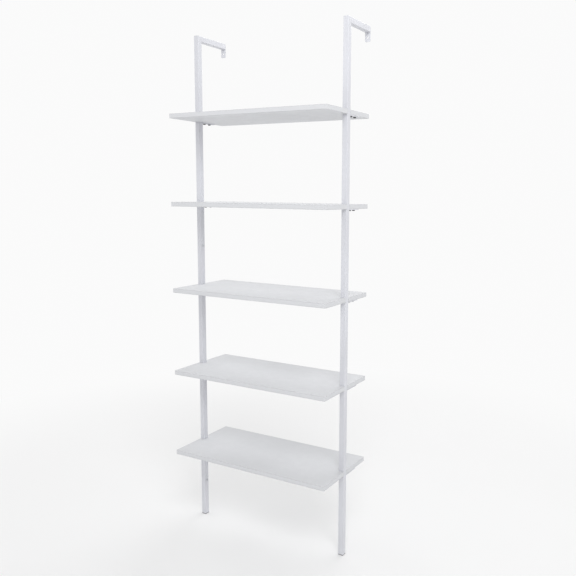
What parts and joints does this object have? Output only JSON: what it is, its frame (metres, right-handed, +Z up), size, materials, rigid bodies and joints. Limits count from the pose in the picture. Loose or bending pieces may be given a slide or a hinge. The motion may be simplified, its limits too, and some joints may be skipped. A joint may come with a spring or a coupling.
{
  "type": "ladder shelf",
  "caption": "Wall-fixed ladder shelf with laminated boards notched round two square-tube uprights, whose top arms run back to plates on the wall.",
  "frame": {"origin": "on the floor, at the middle of the overall width and depth", "axes": "+X to the right seen from the front, +Y towards the wall, +Z up"},
  "size_m": [0.61, 0.282, 1.75],
  "materials": {
    "frame_white": "white powder coat, fine orange peel, low sheen",
    "board_white": "white melamine laminate on particle board, matt, with edge banding",
    "screw_black": "black-coated steel wood screws, satin",
    "zinc_steel": "zinc-plated steel",
    "foot_grey": "dark grey moulded plastic, matt"
  },
  "bodies": {
    "root": {"joint_bolts": "zinc_steel", "left_foot_plug": "foot_grey", "left_leg_tube": "frame_white", "left_lower_sleeve": "zinc_steel", "left_middle_tube": "frame_white", "left_tab_1": "frame_white", "left_tab_2": "frame_white", "left_tab_3": "frame_white", "left_tab_4": "frame_white", "left_tab_5": "frame_white", "left_top_arm": "frame_white", "left_top_tube": "frame_white", "left_upper_sleeve": "zinc_steel", "left_wall_plate": "frame_white", "right_foot_plug": "foot_grey", "right_leg_tube": "frame_white", "right_lower_sleeve": "zinc_steel", "right_middle_tube": "frame_white", "right_tab_1": "frame_white", "right_tab_2": "frame_white", "right_tab_3": "frame_white", "right_tab_4": "frame_white", "right_tab_5": "frame_white", "right_top_arm": "frame_white", "right_top_tube": "frame_white", "right_upper_sleeve": "zinc_steel", "right_wall_plate": "frame_white", "shelf_1": "board_white", "shelf_2": "board_white", "shelf_3": "board_white", "shelf_4": "board_white", "shelf_5": "board_white", "shelf_screws": "screw_black", "sleeve_nuts": "zinc_steel"}
  },
  "joints": []
}
